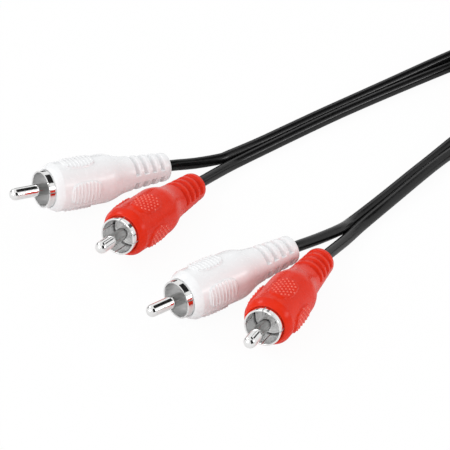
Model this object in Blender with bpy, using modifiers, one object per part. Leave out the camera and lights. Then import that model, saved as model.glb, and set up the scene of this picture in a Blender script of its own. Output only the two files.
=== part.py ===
"""A stereo audio cable: a black twin cord with a white and a red phono plug at each end.

Metres, +Z up. The four plugs lie on the plane z = 0, with the origin under the middle of them.
Their pins point towards -X and -Y, and the cord leaves towards +X and +Y to a tied coil.
Each plug is built about its own +Z axis, nose up, with its face NOSE_HEIGHT above z = 0.
"""

import math

import bmesh
import bpy
from mathutils import Matrix, Vector

# Clearance between pieces that touch on the real cable.
GAP = 0.0003

# Moulded housing.
BARREL_RADIUS = 0.00645
BARREL_LENGTH = 0.0164
NOSE_HEIGHT = 0.0012
NOSE_BEVEL = 0.0010
NOSE_EDGE_DROP = 0.00045
NECK_RADIUS = 0.0046
NECK_LENGTH = 0.0066
RELIEF_LENGTH = 0.0117
RELIEF_END_RADIUS = 0.0037
RELIEF_ROUNDING = 0.0008

# Grooves across the strain relief, above and below two side spines.
GROOVE_COUNT = 4
GROOVE_PITCH = 0.00266
GROOVE_WIDTH = 0.0012
GROOVE_DEPTH = 0.0009
GROOVE_START = 0.0002
SPINE_WIDTH = 0.0021

# Oval grip pads, four around the barrel.
PAD_COUNT = 4
PAD_LENGTH = 0.0090
PAD_WIDTH = 0.0062
PAD_CENTRE = 0.0072
PAD_HEIGHT = 0.0004
RIB_COUNT = 8
RIB_DEPTH = 0.0003

# Slotted metal sleeve around the pin.
SLEEVE_RADIUS = 0.0049
SLEEVE_WALL = 0.00045
SLEEVE_REACH = 0.0018
SLEEVE_LENGTH = 0.0106
SLEEVE_FLANGE = 0.0006
SLIT_WIDTH = 0.0005
SLIT_LENGTH = 0.0062
SLIT_OFFSET_DEGREES = 11

# Centre pin, round at its tip, with a solder tail.
PIN_RADIUS = 0.0016
PIN_REACH = 0.0091
TAIL_RADIUS = 0.0009
TAIL_LENGTH = 0.0032

# Insulating bush between pin and sleeve.
BUSH_DEPTH = 0.0052
BUSH_NECK_WALL = 0.0009
BUSH_NECK_LENGTH = 0.0018

# Inner mould around the soldered joints, and the two conductors in it.
MOULD_LENGTH = 0.0062
CAVITY_WALL = 0.0020
CONDUCTOR_RADIUS = 0.00035
SCREEN_RADIUS = 0.0003
JOINT_SPACE = 0.0013

# Cord: two round strands side by side.
STRAND_RADIUS = 0.0013
STRAND_SPACING = 0.0029
STRAND_LEAD = 0.0010
POINT_SPACING = 0.0075
CURVE_STEPS = 20

# Coil of the spare length, and its tie.
COIL_CENTRE = (0.1260, 0.0896)
COIL_RADIUS = 0.0290
COIL_BAND = 0.0130
COIL_HEIGHT = 0.0118
COIL_ROUNDING = 0.0012
TIE_ANGLE_DEGREES = 20
TIE_WIDTH = 0.0045
TIE_THICKNESS = 0.0007

# Segments of the turned pieces.
HOUSING_SEGMENTS = 24
SLEEVE_SEGMENTS = 24
SMALL_SEGMENTS = 12
COIL_SEGMENTS = 40

# How near two corners of a turned piece are before they become one.
MERGE_DISTANCE = 0.00001

WHITE = ("white_pvc", (0.86, 0.86, 0.88), 0.35, 0.0)
RED = ("red_pvc", (0.72, 0.03, 0.02), 0.35, 0.0)
NICKEL = ("bright_nickel", (0.78, 0.78, 0.78), 0.12, 1.0)
NYLON = ("pale_nylon", (0.78, 0.78, 0.78), 0.45, 0.0)
COPPER = ("tinned_copper", (0.72, 0.45, 0.32), 0.35, 1.0)
INNER_PLASTIC = ("natural_polythene", (0.80, 0.79, 0.74), 0.5, 0.0)
CORD_PVC = ("black_pvc", (0.02, 0.02, 0.022), 0.3, 0.0)
TIE_PVC = ("tie_pvc", (0.03, 0.03, 0.032), 0.5, 0.0)

# Each plug: finish, x and y of its own z = 0, heading of its cord, nose tilt and roll in degrees.
PLUGS = {
    "upper_white": (WHITE, (-0.0310, 0.0250), 31.5, 8.0, 4.0),
    "upper_red": (RED, (-0.0116, 0.0039), 59.0, 7.9, -16.0),
    "lower_white": (WHITE, (0.0042, -0.0223), 40.2, 1.5, 11.0),
    "lower_red": (RED, (0.0243, -0.0347), 66.2, 4.8, -10.0),
}

# Free run of each strand between its plug and the twin, chosen by hand.
TAILS = {
    "upper_white": ((0.0061, 0.0455, 0.0032), (0.0127, 0.0483, 0.0028)),
    "upper_red": ((0.0127, 0.0430, 0.0023),),
    "lower_white": ((0.0377, 0.0070, 0.0047), (0.0435, 0.0133, 0.0034)),
    "lower_red": ((0.0447, 0.0099, 0.0023),),
}

# Middle of the twin cord, chosen by hand: x, y, z and how far the white strand leans up, in degrees.
RUNS = {
    "upper": (
        (0.0160, 0.0493, 0.0021, 21),
        (0.0237, 0.0565, 0.0017, 6),
        (0.0332, 0.0651, 0.0016, 2),
        (0.0415, 0.0724, 0.0016, 1),
        (0.0498, 0.0794, 0.0016, 2),
        (0.0616, 0.0888, 0.0018, 10),
        (0.0750, 0.0989, 0.0023, 30),
        (0.0865, 0.1069, 0.0028, 60),
        (0.0970, 0.1128, 0.0030, 85),
    ),
    "lower": (
        (0.0476, 0.0181, 0.0017, 3),
        (0.0530, 0.0255, 0.0018, -6),
        (0.0585, 0.0333, 0.0018, -10),
        (0.0641, 0.0412, 0.0019, -12),
        (0.0698, 0.0491, 0.0019, -12),
        (0.0772, 0.0589, 0.0019, 6),
        (0.0826, 0.0645, 0.0024, 28),
        (0.0890, 0.0669, 0.0030, 52),
        (0.0960, 0.0646, 0.0038, 75),
        (0.1020, 0.0599, 0.0052, 90),
        (0.1068, 0.0577, 0.0066, 90),
    ),
}

FACE_Z = NOSE_HEIGHT
RIM_Z = FACE_Z + SLEEVE_REACH
SLEEVE_END_Z = RIM_Z - SLEEVE_LENGTH
PIN_TIP_Z = RIM_Z + PIN_REACH
RELIEF_START_Z = -BARREL_LENGTH - NECK_LENGTH
RELIEF_END_Z = RELIEF_START_Z - RELIEF_LENGTH
BUSH_FACE_Z = RIM_Z - BUSH_DEPTH
BUSH_NECK_RADIUS = PIN_RADIUS + GAP + BUSH_NECK_WALL
BUSH_NECK_END_Z = SLEEVE_END_Z - BUSH_NECK_LENGTH
MOULD_START_Z = BUSH_NECK_END_Z - GAP
MOULD_END_Z = MOULD_START_Z - MOULD_LENGTH
TAIL_START_Z = MOULD_START_Z + GAP
TAIL_END_Z = TAIL_START_Z - TAIL_LENGTH
CAVITY_RADIUS = BARREL_RADIUS - CAVITY_WALL
CAVITY_END_Z = MOULD_END_Z - JOINT_SPACE
MOULD_RADIUS = CAVITY_RADIUS - GAP
TWIN_HALF = STRAND_SPACING / 2


def clear_scene():
    for old in list(bpy.data.objects):
        bpy.data.objects.remove(old)


def new_collection(name):
    collection = bpy.data.collections.new(name)
    bpy.context.scene.collection.children.link(collection)
    return collection


def material_for(finish):
    name, colour, roughness, metallic = finish
    found = bpy.data.materials.get(name)
    if found:
        return found
    material = bpy.data.materials.new(name)
    material.use_nodes = True
    shader = material.node_tree.nodes["Principled BSDF"]
    shader.inputs["Base Color"].default_value = (*colour, 1.0)
    shader.inputs["Roughness"].default_value = roughness
    shader.inputs["Metallic"].default_value = metallic
    return material


def place(obj, collection, parent=None, finish=None):
    collection.objects.link(obj)
    obj.parent = parent
    if finish:
        obj.data.materials.append(material_for(finish))
    return obj


def turned(name, outlines, segments, closed=True):
    """Solids turned about +Z. Outlines run down their outer side; an open one starts and ends on the axis."""
    corners = []
    edges = []
    for outline in outlines:
        first = len(corners)
        corners += [(radius, 0.0, z) for radius, z in outline]
        edges += [(i, i + 1) for i in range(first, len(corners) - 1)]
        if closed:
            edges.append((len(corners) - 1, first))
    mesh = bpy.data.meshes.new(name)
    mesh.from_pydata(corners, edges, [])
    obj = bpy.data.objects.new(name, mesh)
    screw = obj.modifiers.new("turn", "SCREW")
    screw.axis = "Z"
    screw.angle = math.tau
    screw.steps = segments
    screw.render_steps = segments
    screw.use_merge_vertices = True
    screw.merge_threshold = MERGE_DISTANCE
    screw.use_smooth_shade = True
    return obj


def from_bmesh(name, shape):
    bmesh.ops.recalc_face_normals(shape, faces=shape.faces)
    mesh = bpy.data.meshes.new(name)
    shape.to_mesh(mesh)
    shape.free()
    return bpy.data.objects.new(name, mesh)


def add_block(shape, size, matrix):
    bmesh.ops.create_cube(shape, size=1.0, matrix=matrix @ Matrix.Diagonal((*size, 1.0)))


def cut(obj, cutter, operation="DIFFERENCE"):
    boolean = obj.modifiers.new(cutter.name, "BOOLEAN")
    boolean.operation = operation
    boolean.solver = "EXACT"
    boolean.object = cutter
    return boolean


def as_cutter(obj, cutters, parent):
    cutters.objects.link(obj)
    obj.parent = parent
    obj.hide_render = True
    obj.display_type = "WIRE"
    return obj


def barrel_profile():
    """Outer outline of the housing from its nose to the end of the strain relief, then back up its bore."""
    shoulder_z = -BARREL_LENGTH
    neck_z = RELIEF_START_Z
    shoulder_drop = BARREL_RADIUS - NECK_RADIUS
    bore_radius = SLEEVE_RADIUS + GAP
    return [
        (BARREL_RADIUS - NOSE_BEVEL, FACE_Z),
        (BARREL_RADIUS, -NOSE_EDGE_DROP),
        (BARREL_RADIUS, shoulder_z),
        (BARREL_RADIUS - shoulder_drop * 0.30, shoulder_z - NECK_LENGTH * 0.20),
        (BARREL_RADIUS - shoulder_drop * 0.72, shoulder_z - NECK_LENGTH * 0.50),
        (BARREL_RADIUS - shoulder_drop * 0.93, shoulder_z - NECK_LENGTH * 0.75),
        (NECK_RADIUS, neck_z),
        (RELIEF_END_RADIUS, RELIEF_END_Z + RELIEF_ROUNDING),
        (RELIEF_END_RADIUS - RELIEF_ROUNDING * 0.3, RELIEF_END_Z + RELIEF_ROUNDING * 0.3),
        (RELIEF_END_RADIUS - RELIEF_ROUNDING, RELIEF_END_Z),
        (STRAND_RADIUS + GAP, RELIEF_END_Z),
        (STRAND_RADIUS + GAP, CAVITY_END_Z),
        (CAVITY_RADIUS, CAVITY_END_Z),
        (CAVITY_RADIUS, SLEEVE_END_Z - GAP),
        (bore_radius, SLEEVE_END_Z - GAP),
        (bore_radius, FACE_Z),
    ]


def pad_ovals(name):
    """Four oval plugs that stand out from the barrel, one per grip pad."""
    shape = bmesh.new()
    depth = BARREL_RADIUS * 0.5
    for i in range(PAD_COUNT):
        turn = Matrix.Rotation(math.tau * i / PAD_COUNT, 4, "Z")
        outwards = Matrix.Translation((BARREL_RADIUS, 0.0, -PAD_CENTRE)) @ Matrix.Rotation(math.pi / 2, 4, "Y")
        oval = Matrix.Diagonal((PAD_LENGTH, PAD_WIDTH, depth, 1.0))
        bmesh.ops.create_cone(
            shape,
            cap_ends=True,
            segments=12,
            radius1=0.5,
            radius2=0.5,
            depth=1.0,
            matrix=turn @ outwards @ oval,
        )
    return from_bmesh(name, shape)


def pad_sleeve(name, ribbed):
    """A ring at the pads' height above the barrel, plain or with ribs round it."""
    crest = BARREL_RADIUS + PAD_HEIGHT
    top = -PAD_CENTRE + PAD_LENGTH * 0.55
    bottom = -PAD_CENTRE - PAD_LENGTH * 0.55
    inner = BARREL_RADIUS - 2 * GAP
    outer = [(crest, top), (crest, bottom)]
    if ribbed:
        pitch = (top - bottom) / (RIB_COUNT + 1)
        outer = [(crest, top)]
        for i in range(RIB_COUNT + 1):
            valley = top - pitch * (i + 0.5)
            outer.append((crest, valley + pitch * 0.3))
            outer.append((crest - RIB_DEPTH, valley))
            outer.append((crest, valley - pitch * 0.3))
        outer.append((crest, bottom))
    return turned(name, [[*outer, (inner, bottom), (inner, top)]], HOUSING_SEGMENTS)


def groove_rings(name):
    """Rings that cut the strain relief's grooves, open at the two side spines."""
    slope = (NECK_RADIUS - RELIEF_END_RADIUS) / RELIEF_LENGTH
    outlines = []
    for i in range(GROOVE_COUNT):
        top = RELIEF_START_Z - GROOVE_START - GROOVE_PITCH * i
        bottom = top - GROOVE_WIDTH
        floor = NECK_RADIUS - slope * (RELIEF_START_Z - top) - GROOVE_DEPTH
        outside = NECK_RADIUS + GROOVE_DEPTH
        outlines.append([(outside, top), (outside, bottom), (floor, bottom), (floor, top)])
    return turned(name, outlines, HOUSING_SEGMENTS)


def spine_block(name):
    """What the groove rings leave standing: one block through the relief from side to side."""
    shape = bmesh.new()
    middle = Matrix.Translation((0.0, 0.0, (RELIEF_START_Z + RELIEF_END_Z) / 2))
    across = 2 * (NECK_RADIUS + 2 * GROOVE_DEPTH)
    add_block(shape, (across, SPINE_WIDTH, RELIEF_LENGTH + NECK_LENGTH), middle)
    return from_bmesh(name, shape)


def build_housing(name, finish, parent, parts, cutters):
    housing = turned(name + "_housing", [barrel_profile()], HOUSING_SEGMENTS)
    place(housing, parts, parent, finish)
    ovals = as_cutter(pad_ovals(name + "_pad_ovals"), cutters, parent)
    sleeve = as_cutter(pad_sleeve(name + "_pad_sleeve", finish is WHITE), cutters, parent)
    cut(sleeve, ovals, "INTERSECT")
    cut(housing, sleeve, "UNION")
    rings = as_cutter(groove_rings(name + "_groove_rings"), cutters, parent)
    spines = as_cutter(spine_block(name + "_spines"), cutters, parent)
    cut(rings, spines)
    cut(housing, rings)
    return housing


def slit_blades(name):
    """Four thin blades that slit the sleeve from its rim."""
    shape = bmesh.new()
    height = SLIT_LENGTH + 2 * GAP
    length = SLEEVE_WALL * 4
    for i in range(4):
        angle = math.radians(SLIT_OFFSET_DEGREES) + math.tau * i / 4
        turn = Matrix.Rotation(angle, 4, "Z")
        out = Matrix.Translation((SLEEVE_RADIUS - SLEEVE_WALL / 2, 0.0, RIM_Z + 2 * GAP - height / 2))
        add_block(shape, (length, SLIT_WIDTH, height), turn @ out)
    return from_bmesh(name, shape)


def build_sleeve(name, parent, parts, cutters):
    inner = SLEEVE_RADIUS - SLEEVE_WALL
    opening = BUSH_NECK_RADIUS + GAP
    profile = [
        (SLEEVE_RADIUS, RIM_Z),
        (SLEEVE_RADIUS, SLEEVE_END_Z),
        (opening, SLEEVE_END_Z),
        (opening, SLEEVE_END_Z + SLEEVE_FLANGE),
        (inner, SLEEVE_END_Z + SLEEVE_FLANGE),
        (inner, RIM_Z),
    ]
    sleeve = turned(name + "_ground_sleeve", [profile], SLEEVE_SEGMENTS)
    place(sleeve, parts, parent, NICKEL)
    cut(sleeve, as_cutter(slit_blades(name + "_slit_blades"), cutters, parent))
    return sleeve


def build_bush(name, parent, parts):
    outer = SLEEVE_RADIUS - SLEEVE_WALL - GAP
    seat_z = SLEEVE_END_Z + SLEEVE_FLANGE + GAP
    profile = [
        (outer, BUSH_FACE_Z),
        (outer, seat_z),
        (BUSH_NECK_RADIUS, seat_z),
        (BUSH_NECK_RADIUS, BUSH_NECK_END_Z),
        (PIN_RADIUS + GAP, BUSH_NECK_END_Z),
        (PIN_RADIUS + GAP, BUSH_FACE_Z),
    ]
    bush = turned(name + "_insulating_bush", [profile], SLEEVE_SEGMENTS)
    return place(bush, parts, parent, NYLON)


def build_pin(name, parent, parts):
    rounding = 4
    profile = []
    for i in range(rounding + 1):
        angle = math.pi / 2 * i / rounding
        profile.append((PIN_RADIUS * math.sin(angle), PIN_TIP_Z - PIN_RADIUS * (1 - math.cos(angle))))
    profile += [
        (PIN_RADIUS, TAIL_START_Z),
        (TAIL_RADIUS, TAIL_START_Z),
        (TAIL_RADIUS, TAIL_END_Z),
        (0.0, TAIL_END_Z),
    ]
    pin = turned(name + "_centre_pin", [profile], SMALL_SEGMENTS, closed=False)
    return place(pin, parts, parent, NICKEL)


def build_mould(name, parent, parts, cutters):
    """The plastic moulded round the soldered joints, with a channel for the screen's wire."""
    bore = TAIL_RADIUS + GAP
    profile = [
        (MOULD_RADIUS, MOULD_START_Z),
        (MOULD_RADIUS, MOULD_END_Z),
        (bore, MOULD_END_Z),
        (bore, MOULD_START_Z),
    ]
    mould = turned(name + "_inner_mould", [profile], SMALL_SEGMENTS)
    place(mould, parts, parent, INNER_PLASTIC)
    shape = bmesh.new()
    channel = 2 * (SCREEN_RADIUS + GAP)
    middle = Matrix.Translation((screen_offset(), 0.0, (MOULD_START_Z + MOULD_END_Z) / 2))
    add_block(shape, (channel + 2 * SCREEN_RADIUS, channel, MOULD_LENGTH + 2 * GAP), middle)
    cut(mould, as_cutter(from_bmesh(name + "_channel", shape), cutters, parent))
    return mould


def screen_offset():
    return MOULD_RADIUS - SCREEN_RADIUS


def wire(name, points, radius, parent, parts, finish):
    """A round wire through the given points."""
    curve = bpy.data.curves.new(name, "CURVE")
    curve.dimensions = "3D"
    curve.bevel_depth = radius
    curve.bevel_resolution = 2
    curve.use_fill_caps = True
    spline = curve.splines.new("POLY")
    spline.points.add(len(points) - 1)
    for spot, point in zip(spline.points, points):
        spot.co = (*point, 1.0)
    obj = bpy.data.objects.new(name, curve)
    return place(obj, parts, parent, finish)


def build_conductors(name, parent, parts):
    """The signal core from the pin's tail, and the screen's wire from the sleeve, to the strand's end."""
    strand_end = CAVITY_END_Z - GAP
    core = [(0.0, 0.0, TAIL_END_Z - GAP), (0.0, 0.0, strand_end + GAP)]
    wire(name + "_signal_core", core, CONDUCTOR_RADIUS, parent, parts, COPPER)
    offset = screen_offset()
    bend_z = MOULD_END_Z - SCREEN_RADIUS - GAP
    inner = CONDUCTOR_RADIUS + GAP
    screen = [
        (offset, 0.0, SLEEVE_END_Z - GAP),
        (offset, 0.0, bend_z),
        (inner, 0.0, bend_z),
    ]
    wire(name + "_screen_wire", screen, SCREEN_RADIUS, parent, parts, COPPER)


def pose_of(heading_degrees, tilt_degrees, roll_degrees):
    """Turns a plug's +Z to its nose direction, which points back along the heading and up by the tilt."""
    heading = math.radians(heading_degrees)
    tilt = math.radians(tilt_degrees)
    level = Vector((-math.cos(heading), -math.sin(heading), 0.0))
    nose = level * math.cos(tilt) + Vector((0.0, 0.0, math.sin(tilt)))
    side = Vector((math.sin(heading), -math.cos(heading), 0.0))
    upward = nose.cross(side)
    turn = Matrix((side, upward, nose)).transposed()
    return turn.to_4x4() @ Matrix.Rotation(math.radians(roll_degrees), 4, "Z")


def lowest_point(obj, turn):
    graph = bpy.context.evaluated_depsgraph_get()
    mesh = obj.evaluated_get(graph).to_mesh()
    return min((turn @ vertex.co).z for vertex in mesh.vertices)


def build_plug(name, settings, parts, cutters):
    """One whole plug on its own empty, lowered until its housing rests on the plane z = 0."""
    finish, (x, y), heading, tilt, roll = settings
    base = bpy.data.objects.new(name + "_plug", None)
    parts.objects.link(base)
    housing = build_housing(name, finish, base, parts, cutters)
    build_sleeve(name, base, parts, cutters)
    build_bush(name, base, parts)
    build_pin(name, base, parts)
    build_mould(name, base, parts, cutters)
    build_conductors(name, base, parts)
    turn = pose_of(heading, tilt, roll)
    bpy.context.view_layer.update()
    height = -lowest_point(housing, turn)
    base.matrix_world = Matrix.Translation((x, y, height)) @ turn
    return base


def smooth(points, spacing):
    """Points at even spacing along a smooth curve through the given ones."""
    padded = [2 * points[0] - points[1], *points, 2 * points[-1] - points[-2]]
    dense = []
    for i in range(1, len(padded) - 2):
        before, start, end, after = padded[i - 1 : i + 3]
        for k in range(CURVE_STEPS):
            t = k / CURVE_STEPS
            straight = 2 * start + (end - before) * t
            bend = (2 * before - 5 * start + 4 * end - after) * t**2
            twist = (3 * start - before - 3 * end + after) * t**3
            dense.append((straight + bend + twist) * 0.5)
    dense.append(points[-1])
    total = sum((b - a).length for a, b in zip(dense, dense[1:]))
    count = max(2, round(total / spacing))
    step = total / count
    chosen = [dense[0]]
    walked = 0.0
    for a, b in zip(dense, dense[1:]):
        walked += (b - a).length
        if walked >= step * len(chosen) and len(chosen) < count:
            chosen.append(b)
    return [*chosen, points[-1]]


def twin_strand(run, side):
    """One strand of the twin cord beside its middle line. The white strand is on side +1, the red on -1."""
    middles = [Vector(point[:3]) for point in run]
    strand = []
    for i, middle in enumerate(middles):
        along = middles[min(i + 1, len(middles) - 1)] - middles[max(i - 1, 0)]
        along.z = 0.0
        along.normalize()
        left = Vector((-along.y, along.x, 0.0))
        lean = math.radians(run[i][3])
        out = left * math.cos(lean) + Vector((0.0, 0.0, math.sin(lean)))
        strand.append(middle + out * side * TWIN_HALF)
    return strand


def build_strand(name, base, run, side, parts):
    """A plug's own strand, from its end inside the housing to the coil."""
    inner_end = base.matrix_world @ Vector((0.0, 0.0, CAVITY_END_Z - GAP))
    leaving = base.matrix_world @ Vector((0.0, 0.0, RELIEF_END_Z - STRAND_LEAD))
    free = [leaving, *map(Vector, TAILS[name]), *twin_strand(run, side)]
    wire(name + "_strand", [inner_end, *smooth(free, POINT_SPACING)], STRAND_RADIUS, None, parts, CORD_PVC)


def build_coil(parts, cutters):
    """The spare length as one turned ring, notched below where its tie passes."""
    x, y = COIL_CENTRE
    base = bpy.data.objects.new("coil_centre", None)
    parts.objects.link(base)
    base.matrix_world = Matrix.Translation((x, y, 0.0))
    outer = COIL_RADIUS + COIL_BAND / 2
    inner = COIL_RADIUS - COIL_BAND / 2
    top = COIL_HEIGHT
    r = COIL_ROUNDING
    profile = [
        (outer - r, top),
        (outer, top - r),
        (outer, r),
        (outer - r, 0.0),
        (inner + r, 0.0),
        (inner, r),
        (inner, top - r),
        (inner + r, top),
    ]
    coil = turned("cord_coil", [profile], COIL_SEGMENTS)
    place(coil, parts, base, CORD_PVC)
    turn = Matrix.Rotation(math.radians(TIE_ANGLE_DEGREES), 4, "Z")
    strap = TIE_THICKNESS + GAP
    notch = bmesh.new()
    low = Matrix.Translation((COIL_RADIUS, 0.0, 0.0))
    add_block(notch, (COIL_BAND * 1.5, TIE_WIDTH + 2 * GAP, 2 * strap), turn @ low)
    cut(coil, as_cutter(from_bmesh("tie_notch", notch), cutters, base))
    hole = bmesh.new()
    middle = Matrix.Translation((COIL_RADIUS, 0.0, (top + strap) / 2))
    hole_size = (COIL_BAND + 2 * GAP + 2 * TIE_WIDTH**2 / COIL_RADIUS, 2 * TIE_WIDTH, top - strap + 2 * GAP)
    add_block(hole, hole_size, turn @ middle)
    solid = bmesh.new()
    size = (hole_size[0] + 2 * TIE_THICKNESS, TIE_WIDTH, hole_size[2] + 2 * TIE_THICKNESS)
    add_block(solid, size, turn @ middle)
    tie = from_bmesh("coil_tie", solid)
    place(tie, parts, base, TIE_PVC)
    cut(tie, as_cutter(from_bmesh("tie_hole", hole), cutters, base))


def main():
    clear_scene()
    parts = new_collection("audio_cable")
    cutters = new_collection("cutters")
    for name, settings in PLUGS.items():
        base = build_plug(name, settings, parts, cutters)
        end, colour = name.split("_")
        build_strand(name, base, RUNS[end], 1 if colour == "white" else -1, parts)
    build_coil(parts, cutters)


main()
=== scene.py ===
import math

import bmesh
import bpy
from mathutils import Matrix, Vector


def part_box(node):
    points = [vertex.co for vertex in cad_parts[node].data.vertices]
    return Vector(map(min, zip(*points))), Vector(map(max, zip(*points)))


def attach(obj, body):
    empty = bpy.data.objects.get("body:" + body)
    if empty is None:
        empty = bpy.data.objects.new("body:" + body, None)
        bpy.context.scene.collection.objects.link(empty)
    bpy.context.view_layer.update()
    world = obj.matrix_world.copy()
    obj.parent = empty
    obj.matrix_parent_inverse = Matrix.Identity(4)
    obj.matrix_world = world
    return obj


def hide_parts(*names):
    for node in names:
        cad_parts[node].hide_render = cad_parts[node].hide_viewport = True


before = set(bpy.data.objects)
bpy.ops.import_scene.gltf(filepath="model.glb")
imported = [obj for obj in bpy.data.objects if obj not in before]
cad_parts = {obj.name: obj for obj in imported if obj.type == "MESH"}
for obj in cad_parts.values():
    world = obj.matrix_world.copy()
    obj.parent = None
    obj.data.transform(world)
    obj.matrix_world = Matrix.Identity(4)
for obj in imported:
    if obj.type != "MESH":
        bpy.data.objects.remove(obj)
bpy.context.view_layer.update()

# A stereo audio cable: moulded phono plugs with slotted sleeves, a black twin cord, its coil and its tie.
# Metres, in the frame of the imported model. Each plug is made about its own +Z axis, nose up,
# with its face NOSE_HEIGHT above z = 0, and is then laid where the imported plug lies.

# The photograph's view.
VIEW_POINT = Vector((0.0140, 0.0206, 0.0))
VIEW_DISTANCE = 0.9
VIEW_ELEVATION = 33.2
LENS = 278.3

# Each plug: its plastic, the heading of its cord, nose tilt and roll in degrees.
PLUGS = {
    "upper_white": ("white", 31.5, 8.0, 4.0),
    "upper_red": ("red", 59.0, 7.9, -16.0),
    "lower_white": ("white", 40.2, 1.5, 11.0),
    "lower_red": ("red", 66.2, 4.8, -10.0),
}

# Moulded housing.
BARREL_RADIUS = 0.00645
BARREL_LENGTH = 0.0164
NOSE_HEIGHT = 0.0012
NOSE_BEVEL = 0.0010
NOSE_EDGE_DROP = 0.00045
EDGE_ROUNDING = 0.00016
NOSE_BULGE = 0.00005
NECK_RADIUS = 0.0046
NECK_LENGTH = 0.0066
RELIEF_LENGTH = 0.0117
RELIEF_END_RADIUS = 0.0037
RELIEF_ROUNDING = 0.0008
SHOULDER_EASE = 0.0016
BORE_RADIUS = 0.00492
CAVITY_RADIUS = 0.00445
CORD_BORE_RADIUS = 0.00158
SHOULDER_CURVE = 1.8
MOUTH_EDGE = 0.00015
BARREL_ROW_Z = -0.0012

# How finely the housing is drawn: columns round it, and rows along its stretches.
HOUSING_COLUMNS = 256
PAD_ROW_STEP = 0.00016
SHOULDER_ROW_STEP = 0.00045
GROOVE_ROW_STEP = 0.000095
RELIEF_ROW_STEP = 0.0005

# Grooves across the strain relief, above and below two side spines.
GROOVE_COUNT = 4
GROOVE_PITCH = 0.00266
GROOVE_WIDTH = 0.0017
GROOVE_DEPTH = 0.0013
GROOVE_START = 0.0002
SPINE_WIDTH = 0.0021
SPINE_EDGE_INNER = 0.00005
SPINE_EDGE_OUTER = 0.00015
GROOVE_FRONT = (-0.05, 0.08)
GROOVE_BACK = (1.0, 0.30)
GROOVE_LEAD = 0.0004

# Oval grip pads, four around the barrel, ribbed on white and dotted on red.
PAD_COUNT = 4
PAD_LENGTH = 0.0090
PAD_WIDTH = 0.0062
PAD_CENTRE = 0.0072
WHITE_PAD_HEIGHT = 0.00028
RED_PAD_HEIGHT = 0.00038
PAD_SQUARENESS = 2.8
PAD_EDGE = (1.03, 0.96)
PAD_ROWS_REACH = 0.55
RIB_COUNT = 8
RIB_PITCH = 0.00104
RIB_WIDTH = 0.00062
RIB_HEIGHT = 0.00018
RIB_CHORD_SHARE = 0.93
RIB_SHORTEST_SHARE = 0.02
DOT_PITCH = 0.00100
DOT_RADIUS = 0.00031
DOT_HEIGHT = 0.00026
DOT_GRID_COUNT = 15
DOT_OVAL_SHARE = 0.80

# Metal parts and bush.
SLEEVE_RADIUS = 0.0049
SLEEVE_WALL = 0.00045
SLEEVE_REACH = 0.0018
SLEEVE_LENGTH = 0.0106
SLEEVE_FLANGE = 0.0006
SLIT_WIDTH = 0.00018
SLIT_LENGTH = 0.0062
SLIT_COUNT = 4
SLIT_OFFSET_DEGREES = 11
SLEEVE_EDGE = 0.00007
PIN_RADIUS = 0.0016
PIN_REACH = 0.0091
TAIL_RADIUS = 0.0009
TAIL_LENGTH = 0.0032
BUSH_DEPTH = 0.0052
BUSH_NECK_WALL = 0.0009
BUSH_NECK_LENGTH = 0.0018
BUSH_EDGE = 0.0001
BUSH_DISH = 0.0002
BUSH_COLLAR = 0.0007
BUSH_SLOPE = 0.0002
BUSH_RIM = 0.0004
GAP = 0.0003

FACE_Z = NOSE_HEIGHT
RIM_Z = FACE_Z + SLEEVE_REACH
SLEEVE_END_Z = RIM_Z - SLEEVE_LENGTH
PIN_TIP_Z = RIM_Z + PIN_REACH
BUSH_FACE_Z = RIM_Z - BUSH_DEPTH
BUSH_NECK_END_Z = SLEEVE_END_Z - BUSH_NECK_LENGTH
TAIL_START_Z = BUSH_NECK_END_Z
TAIL_END_Z = TAIL_START_Z - TAIL_LENGTH
RELIEF_START_Z = -BARREL_LENGTH - NECK_LENGTH
RELIEF_END_Z = RELIEF_START_Z - RELIEF_LENGTH
CAVITY_END_Z = -0.0174

# Twin cord.
STRAND_RADIUS = 0.0015
STRAND_SPACING = 0.0029
WEB_HALF_WIDTH = 0.00075
WEB_HALF_THICKNESS = 0.0004
ROUTE_STEPS = 3

# Free run of each strand between its plug and the twin.
TAILS = {
    "upper_white": ((0.0061, 0.0455, 0.0032), (0.0127, 0.0483, 0.0028)),
    "upper_red": ((0.0127, 0.0430, 0.0023),),
    "lower_white": ((0.0377, 0.0070, 0.0047), (0.0435, 0.0133, 0.0034)),
    "lower_red": ((0.0447, 0.0099, 0.0023),),
}

# Middle of the twin cord: x, y, z and how far the white strand leans up, in degrees.
RUNS = {
    "upper": (
        (0.0160, 0.0493, 0.0021, 21),
        (0.0237, 0.0565, 0.0017, 6),
        (0.0332, 0.0651, 0.0016, 2),
        (0.0415, 0.0724, 0.0016, 1),
        (0.0498, 0.0794, 0.0016, 2),
        (0.0616, 0.0888, 0.0018, 10),
        (0.0750, 0.0989, 0.0023, 30),
        (0.0865, 0.1069, 0.0028, 60),
        (0.0970, 0.1128, 0.0030, 85),
    ),
    "lower": (
        (0.0476, 0.0181, 0.0017, 3),
        (0.0530, 0.0255, 0.0018, -6),
        (0.0585, 0.0333, 0.0018, -10),
        (0.0641, 0.0412, 0.0019, -12),
        (0.0698, 0.0491, 0.0019, -12),
        (0.0772, 0.0589, 0.0019, 6),
        (0.0826, 0.0645, 0.0024, 28),
        (0.0890, 0.0669, 0.0030, 52),
        (0.0960, 0.0646, 0.0038, 75),
        (0.1020, 0.0599, 0.0052, 90),
        (0.1068, 0.0577, 0.0066, 90),
    ),
}

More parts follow.
